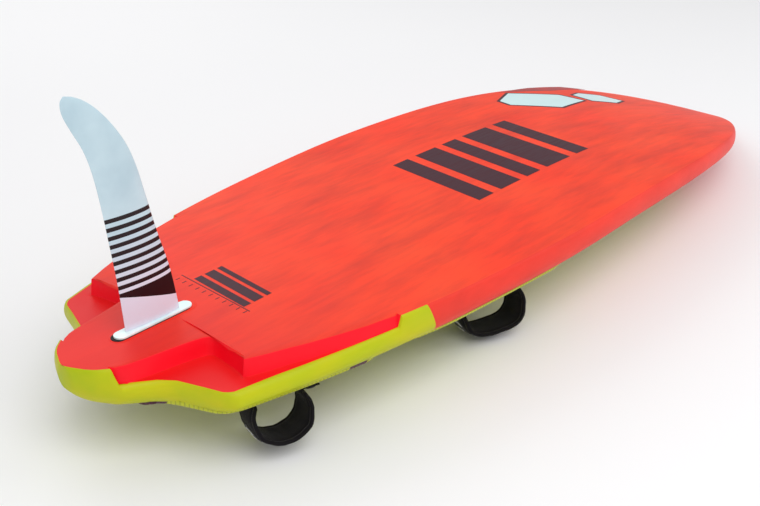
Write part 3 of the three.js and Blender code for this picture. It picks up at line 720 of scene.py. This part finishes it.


# ------------------------------------------------------------------ printed marks, and one sheet of painted shade

def decal(name, outline, look, lift=0.25):
    """A thin printed or stuck-on sheet, or a sheet of painted shade, that follows the bottom's rocker."""
    bm = bmesh.new()
    face = bm.faces.new([bm.verts.new((x, y, 0)) for x, y in outline])
    low = min(x for x, _ in outline)
    high = max(x for x, _ in outline)
    for k in range(1, int((high - low) / 25) + 1):
        at = low + k * 25
        whole = bm.verts[:] + bm.edges[:] + bm.faces[:]
        bmesh.ops.bisect_plane(bm, geom=whole, plane_co=(at, 0, 0), plane_no=(1, 0, 0))
    bmesh.ops.triangulate(bm, faces=[f for f in bm.faces if len(f.verts) > 4])
    bmesh.ops.recalc_face_normals(bm, faces=bm.faces)
    if sum(f.normal.z for f in bm.faces) < 0:
        bmesh.ops.reverse_faces(bm, faces=bm.faces)
    for vert in bm.verts:
        x, y, _ = vert.co
        vert.co = to_part((x, y, rocker_at(x) + lift))
    mesh = bpy.data.meshes.new(name)
    bm.to_mesh(mesh)
    bm.free()
    piece = bpy.data.objects.new(name, mesh)
    bpy.context.scene.collection.objects.link(piece)
    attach(piece, "board")
    film = piece.modifiers.new("film", "SOLIDIFY")
    film.thickness = 0.0006
    film.offset = -1
    apply_modifiers(piece)
    paint(piece, look)
    return piece


def bar(x0, x1, y0, y1, slant):
    """A slanted bar: x along the board, leaning by slant over its width."""
    return [(x0, y0), (x1, y0), (x1 + slant, y1), (x0 + slant, y1)]


# Plain panels near the nose: name, look, lift off the bottom, outline. The first is painted shade: a dark red
# sheet along and just past the far rail, where the rail turns away from the light.
PANELS = [
    ("painted_rail_shade", "rail_shade_red", 0.2,
     [(1663, 323), (1798, 314), (1933, 290), (2003, 248), (1836, 262), (1690, 309)]),
    ("sticker_edge_a", "printed", 0.2,
     [(1578, 222), (1583, 268), (1682, 309), (1822, 220), (1836, 136), (1690, 118)]),
    ("sticker_panel_a", "sticker", 0.45,
     [(1586, 222), (1592, 263), (1681, 300), (1813, 216), (1826, 142), (1693, 127)]),
    ("sticker_edge_b", "printed", 0.2,
     [(1846, 128), (1852, 206), (1906, 218), (1968, 176), (1976, 96), (1912, 78)]),
    ("sticker_panel_b", "sticker", 0.45,
     [(1854, 131), (1860, 200), (1905, 210), (1960, 171), (1967, 101), (1913, 87)]),
]


def build_marks():
    # A row of plain slanted bars where the photograph has the maker's large mark.
    places = [(995, 52), (1075, 74), (1175, 52), (1255, 96), (1380, 52)]
    for i, (x, wide) in enumerate(places):
        decal(f"print_bar_{i + 1}", bar(x, x + wide, -122, 148, 22), "printed")
    for i, (x, wide) in enumerate([(336, 18), (362, 24), (394, 12)]):
        decal(f"print_small_bar_{i + 1}", bar(x, x + wide, -84, 68, 10), "printed")
    decal("print_rule", bar(331, 333, -104, 98, 8), "printed")
    for i in range(11):
        y = -100 + 19 * i
        decal(f"print_tick_{i + 1}", bar(320, 330, y, y + 2, 0), "printed")
    for name, look, lift, outline in PANELS:
        decal(name, outline, look, lift)


# ------------------------------------------------------------------ fin

def build_fin():
    leading = through(FIN_LEADING)
    trailing = through(FIN_TRAILING)
    levels = [FIN_ROOT_LEVEL + (400 - FIN_ROOT_LEVEL) * i / 40 for i in range(41)]
    levels += [406, 412, 418, 424, 430, 435, 440, 444, 448, 451, 453.5, 455.5, FIN_HEIGHT]
    shares = [0, 0.004, 0.015, 0.035, 0.07, 0.12, 0.19, 0.28, 0.38, 0.5, 0.62, 0.74, 0.84, 0.92, 0.97, 1]
    points = []
    for z in levels:
        chord = leading(z) - trailing(z)
        along = z / FIN_HEIGHT
        thick = (FIN_ROOT_THICK + (FIN_TIP_THICK - FIN_ROOT_THICK) * along) / 2
        tip = math.sqrt(max(1 - along ** 12, 0.02))
        side = []
        for s in shares:
            foil = 2.6 * math.sqrt(s) * (1 - s) + 0.12 * s
            side.append((leading(z) - chord * s, max(foil, 0.1 if s else 0) * thick * tip, z))
        points += side + [(x, -y, h) for x, y, h in side[:0:-1]]
    count = 2 * len(shares) - 1
    faces = grid_faces(len(levels), count, True)
    faces += [tuple(range(count)), tuple(len(points) - count + i for i in range(count))]
    blade = new_piece("fin_blade_surface", points, faces, "fin")
    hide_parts("fin_blade")
    paint(blade, "fin_laminate")
    shade(blade, 40)


def slot_ring(name, sections, body):
    """A closed ring from slot outlines: (length, width, height, shift along the board) each."""
    points = []
    for length, width, z, shift in sections:
        points += [(FIN_X + shift + x, y, z) for x, y in slot_outline(length, width)]
    count = len(points) // len(sections)
    faces = grid_faces(len(sections), count, True)
    first = (len(sections) - 1) * count
    faces += [(first + i, first + (i + 1) % count, (i + 1) % count, i) for i in range(count)]
    return new_piece(name, points, faces, body)


def build_gasket():
    """The thin rubber lip between the fin's flange and the board."""
    at = FLANGE_SHIFT
    gasket = slot_ring("fin_gasket_lip", [
        (150, 12, 0.3, at), (171.8, 28.8, 0.3, at), (*LIP, 0.9, at),
        (171.4, 28.4, 1.5, at), (150, 12, 1.5, at),
    ], "fin")
    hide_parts("fin_gasket")
    paint(gasket, "seal_rubber")
    shade(gasket, 40)


def build_box_lacquer():
    """The bottom's lacquer, carried over the fin box's rim up to the flange."""
    length, width = FIN_BOX
    rim = slot_ring("fin_box_lacquer", [
        (length + 1, width + 1, 0.02, 0), (length, width, 0.3, 0),
        (*LIP, 0.3, FLANGE_SHIFT), (*LIP, 0.02, FLANGE_SHIFT),
    ], "board")
    paint(rim, "bottom_skin")
    shade(rim, 30)


# ------------------------------------------------------------------ foot straps

def catmull(points, t):
    """A point on the curve through points, t from 0 to their last index."""
    i = max(min(int(t), len(points) - 2), 0)
    s = t - i
    a, b = points[max(i - 1, 0)], points[i]
    c, d = points[i + 1], points[min(i + 2, len(points) - 1)]
    curve = (2 * b) + (c - a) * s + (2 * a - 5 * b + 4 * c - d) * s * s + (3 * b - a - 3 * c + d) * s ** 3
    return 0.5 * curve


def strap_line(strap, drop_a, drop_b):
    """The strap's centre line over its padded part, seen along the foot's way in."""
    rise, leg, top = strap["rise"], strap["leg"], strap["top"]
    foot = leg + STRAP_FOOT
    lift = PAD + 1.9
    line = [
        (-foot + 13, lift - drop_a), (-foot + 17, lift - drop_a + 4), (-leg, 28), (-leg, 46),
        (-leg + 9, rise - 20), (-top, rise - 6), (0, rise - 2), (top, rise - 6), (leg - 9, rise - 20),
        (leg, 46), (leg, 28), (foot - 17, lift - drop_b + 4), (foot - 13, lift - drop_b),
    ]
    return [Vector(p) for p in line]


def strap_section():
    """Shares of the half width and half height round a padded section with bound edges."""
    shares = [0, 0.22, 0.42, 0.58, 0.69, 0.75, 0.79, 0.83, 0.88, 0.94, 0.98, 1.0]
    depth = [1, 1, 0.97, 0.9, 0.78, 0.62, 0.5, 0.6, 0.66, 0.6, 0.4, 0.0]
    top = list(zip(shares, depth))
    right = top + [(v, -n) for v, n in top[-2::-1]]
    return right + [(-v, n) for v, n in right[-2:0:-1]]


class Strap:
    """One foot strap's padded sleeve: where a point on its surface is."""

    STEPS = 96

    def __init__(self, place, sign):
        strap = STRAPS[place]
        self.seed = 3.1 * sign + (7.7 if place == "rear" else 0)
        self.matrix = deck_frame(strap["x"], sign * strap["y"], sign * strap["angle"])
        foot = strap["leg"] + STRAP_FOOT
        self.line = strap_line(strap, *[-deck_drop(self.matrix, u) for u in (-foot, foot)])
        self.to_board = BOARD.inverted() @ self.matrix
        self.lengths = [0.0]
        for i in range(self.STEPS):
            step = self.centre((i + 1) / self.STEPS)[0] - self.centre(i / self.STEPS)[0]
            self.lengths.append(self.lengths[-1] + step.length)

    def centre(self, share):
        t = 0.9 + (len(self.line) - 2.8) * share
        along = (catmull(self.line, t + 0.02) - catmull(self.line, t - 0.02)).normalized()
        return catmull(self.line, t), Vector((-along.y, along.x))

    def at(self, share, v, n, proud=0.0):
        """The board-frame point at a share of the length, v and n being shares of the half sizes."""
        spot, out = self.centre(share)
        middle = 1 - abs(2 * share - 1)
        end = min(1.0, share * self.STEPS / 3, (1 - share) * self.STEPS / 3)
        half_wide = (35 + 11 * min(1, middle * 1.7)) * (0.9 + 0.1 * end)
        half_thick = (4.7 + 1.1 * min(1, middle * 2)) * (0.55 + 0.45 * end)
        across = v * half_wide
        fold = noise.noise(Vector((share * 20, across * 0.035, self.seed))) * 1.0 * min(1, middle * 2)
        crown = -0.0009 * across * across * min(1, middle * 1.5)
        lift = n * half_thick + fold + crown + 1.0 + proud
        point = spot + out * lift
        return tuple(self.to_board @ (Vector((point.x, across, point.y)) * MM) / MM)


def build_strap(place, side, sign):
    strap = Strap(place, sign)
    name = place + "_" + side
    section = strap_section()
    count = len(section)
    points = [strap.at(i / strap.STEPS, v, n) for i in range(strap.STEPS + 1) for v, n in section]
    faces = grid_faces(strap.STEPS + 1, count, True)
    faces += [tuple(range(count)), tuple(len(points) - count + i for i in range(count))]
    cover = new_piece("strap_padding_" + name, points, faces, merge=False)
    layer = cover.data.uv_layers.new(name="weave")
    for loop in cover.data.loops:
        ring, i = divmod(loop.vertex_index, count)
        layer.data[loop.index].uv = (section[i][0] * 4.5, strap.lengths[ring] / 10)
    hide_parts("strap_cover_" + name)
    paint(cover, "strap_cover")
    shade(cover, 50)
    build_patch(strap, name)


def build_patch(strap, name):
    """A small moulded tab on the strap's tailward face, with two light bars on it that are painted
    highlights, standing in for glints.
    """
    parts = (
        ("tab", 0.27, 0.11, 0.0, 0.62, 0.9, "strap_tab"),
        # The two light bars are painted highlights in place of glints on the tab.
        ("glint_a", 0.25, 0.02, 0.04, 0.44, 1.4, "painted_strap_glint"),
        ("glint_b", 0.30, 0.016, -0.06, 0.4, 1.4, "painted_strap_glint"),
    )
    for part, centre, length, across, wide, proud, look in parts:
        points = []
        rows, columns = 14, 14
        for i in range(rows + 1):
            along = 2 * i / rows - 1
            reach = wide * math.sqrt(max(1 - abs(along) ** 3, 0.0)) + 0.02
            for j in range(columns + 1):
                v = across + reach * (2 * j / columns - 1)
                bow = 0.03 * (v / 0.6) ** 2
                roll = 1 - max(abs(along), abs(2 * j / columns - 1)) ** 8
                place = centre + (along * length / 2) + bow
                points.append(strap.at(place, v, 1.0 - 0.24 * abs(v) ** 3, proud * roll))
        count = columns + 1
        faces = grid_faces(rows + 1, count, False)
        piece = new_piece("strap_" + part + "_" + name, points, faces)
        orient_out(piece, strap)
        body = piece.modifiers.new("body", "SOLIDIFY")
        body.thickness = 0.0012
        body.offset = -1
        apply_modifiers(piece)
        paint(piece, look)
        shade(piece, 40)


def orient_out(piece, strap):
    """Turns a patch's faces away from the strap's inside."""
    inside = strap.matrix @ (Vector((0, 0, 45)) * MM)
    face = piece.data.polygons[len(piece.data.polygons) // 2]
    if (face.center - inside).dot(face.normal) < 0:
        piece.data.flip_normals()


# ------------------------------------------------------------------ deck pads

def edge_distance(outline, x, y):
    """How far a place is from a closed outline's nearest side."""
    nearest = 1e9
    for (x0, y0), (x1, y1) in zip(outline, outline[1:] + outline[:1]):
        dx, dy = x1 - x0, y1 - y0
        t = min(max(((x - x0) * dx + (y - y0) * dy) / (dx * dx + dy * dy), 0), 1)
        nearest = min(nearest, math.hypot(x - x0 - t * dx, y - y0 - t * dy))
    return nearest


def build_pad(name, outline, sign):
    """A moulded pad that follows the deck, with rolled edges."""
    low, high = min(x for x, _ in outline), max(x for x, _ in outline)
    outer = between(sorted((p for p in outline if p[1] > 60), key=lambda p: p[0]))
    corners = [x for x, y in outline if y > 60]
    even = [low + (high - low) * i / 60 for i in range(61)]
    rows = sorted({low + 0.5, low + 2, high - 2, high - 0.5, *corners, *even})
    shares = [0, 0.008, 0.02, 0.04] + [0.04 + 0.92 * i / 24 for i in range(1, 24)] + [0.96, 0.98, 0.992, 1]
    points = []
    for layer in (1, 0):
        for x in rows:
            wide = max(outer(x) - 60, 1)
            for share in shares:
                y = 60 + wide * share
                roll = 1 - max(0, 1 - edge_distance(outline, x, y) / 5) ** 2.2
                rise = 0.4 + (PAD * roll if layer else 0)
                points.append((x, sign * y, deck_at(x, y) - rise))
    count = len(shares)
    size = len(rows) * count
    last = len(rows) - 1
    top = grid_faces(len(rows), count, False)
    faces = top + [tuple(size + k for k in face[::-1]) for face in top]
    rim = list(range(count)) + [(i + 1) * count + count - 1 for i in range(last)]
    rim += [last * count + count - 2 - j for j in range(count - 1)]
    rim += [(last - 1 - i) * count for i in range(last)]
    faces += [(a, b, b + size, a + size) for a, b in zip(rim, rim[1:])]
    pad = new_piece("pad_foam_" + name, points, faces)
    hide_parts("deck_pad_" + name)
    paint(pad, "deck_pad")
    shade(pad, 60)
    return pad


def build_pads():
    for side, sign in (("right", -1), ("left", 1)):
        for place, outline in (("rear", REAR_PAD), ("front", FRONT_PAD)):
            pad = build_pad(place + "_" + side, outline, sign)
            strap = STRAPS[place]
            matrix = deck_frame(strap["x"], sign * strap["y"], sign * strap["angle"])
            foot = strap["leg"] + STRAP_FOOT
            moves = [matrix @ Matrix.Translation((u * MM, 0, 0)) for u in (-foot, foot)]
            cut(pad, [(circle(9.3, 20), -20, 14, move) for move in moves])
            shade(pad, 60)


# ------------------------------------------------------------------ carried-over CAD nodes

def build_core():
    """The foam inside the skins, a little smaller than its CAD solid to clear the skins."""
    core = bpy.data.objects.new("foam_body", frame["nodes"]["foam_core"].data.copy())
    bpy.context.scene.collection.objects.link(core)
    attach(core, "board")
    plain = core.modifiers.new("plain", "REMESH")
    plain.mode = "VOXEL"
    plain.voxel_size = 0.012
    shrink = core.modifiers.new("clear_of_skins", "DISPLACE")
    shrink.mid_level = 0.0
    shrink.strength = -0.009
    apply_modifiers(core)
    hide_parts("foam_core")
    paint(core, "core_foam")
    shade(core, 40)


def finish_nodes():
    """Materials and softened edges for the CAD nodes that stay."""
    slots = {row["node"]: row["material_slot"] for row in frame["record"]["subparts"]}
    softened = ("moulded_plastic", "fin_base_plastic", "steel", "brass", "seal_rubber")
    for name, node in frame["nodes"].items():
        if node.hide_render:
            continue
        paint(node, slots[name])
        if slots[name] in softened:
            edge = node.modifiers.new("edges", "BEVEL")
            edge.width = 0.0004
            edge.segments = 2
            edge.limit_method = "ANGLE"
            edge.angle_limit = math.radians(40)


# ------------------------------------------------------------------ floor, light and camera

def build_stage():
    bm = bmesh.new()
    bmesh.ops.create_grid(bm, x_segments=2, y_segments=2, size=30)
    mesh = bpy.data.meshes.new("floor")
    bm.to_mesh(mesh)
    bm.free()
    floor = bpy.data.objects.new("floor", mesh)
    bpy.context.scene.collection.objects.link(floor)
    floor.location.z = -0.001
    look = Look("floor_paper", (246, 246, 247), 0.9)
    look.color(look.mix(look.noise(look.place(), 0.6), (247, 247, 248), (243, 243, 245)))
    floor.data.materials.append(look.material)

    world = bpy.data.worlds.new("studio")
    bpy.context.scene.world = world
    world.use_nodes = True
    world.node_tree.nodes["Background"].inputs["Color"].default_value = (1, 1, 1, 1)
    world.node_tree.nodes["Background"].inputs["Strength"].default_value = 0.62
    for name, place, size, power in (
        ("key", (-1.5, -2.4, 3.6), 3.0, 78),
        ("fill", (2.6, -2.6, 2.2), 2.6, 30),
        ("back", (0.6, 3.2, 2.8), 3.0, 35),
    ):
        light = bpy.data.lights.new(name, "AREA")
        light.size = size
        light.energy = power
        lamp = bpy.data.objects.new(name, light)
        bpy.context.scene.collection.objects.link(lamp)
        lamp.location = place
        lamp.rotation_mode = "QUATERNION"
        lamp.rotation_quaternion = (-Vector(place)).to_track_quat("-Z", "Y")


def build_camera():
    place = Vector((-0.88313, -1.50943, 1.06735))
    right = Vector((0.66565, -0.74626, -0.00263))
    up = Vector((0.34311, 0.30291, 0.88911))
    back = Vector((-0.66271, -0.59274, 0.45768))
    data = bpy.data.cameras.new("camera")
    data.lens = 55.31
    data.sensor_width = 36
    data.clip_start = 0.05
    data.clip_end = 100
    camera = bpy.data.objects.new("camera", data)
    bpy.context.scene.collection.objects.link(camera)
    axes = Matrix((right, up, back)).transposed().to_4x4()
    camera.matrix_world = BOARD @ Matrix.Translation(place) @ axes
    bpy.context.scene.camera = camera
    bpy.context.scene.view_settings.view_transform = "Standard"


# ------------------------------------------------------------------ assembly

build_camera()
build_stage()
build_hull()
build_marks()
build_fin()
build_gasket()
build_box_lacquer()
for side, sign in (("right", -1), ("left", 1)):
    for place in STRAPS:
        build_strap(place, side, sign)
build_pads()
build_core()
finish_nodes()
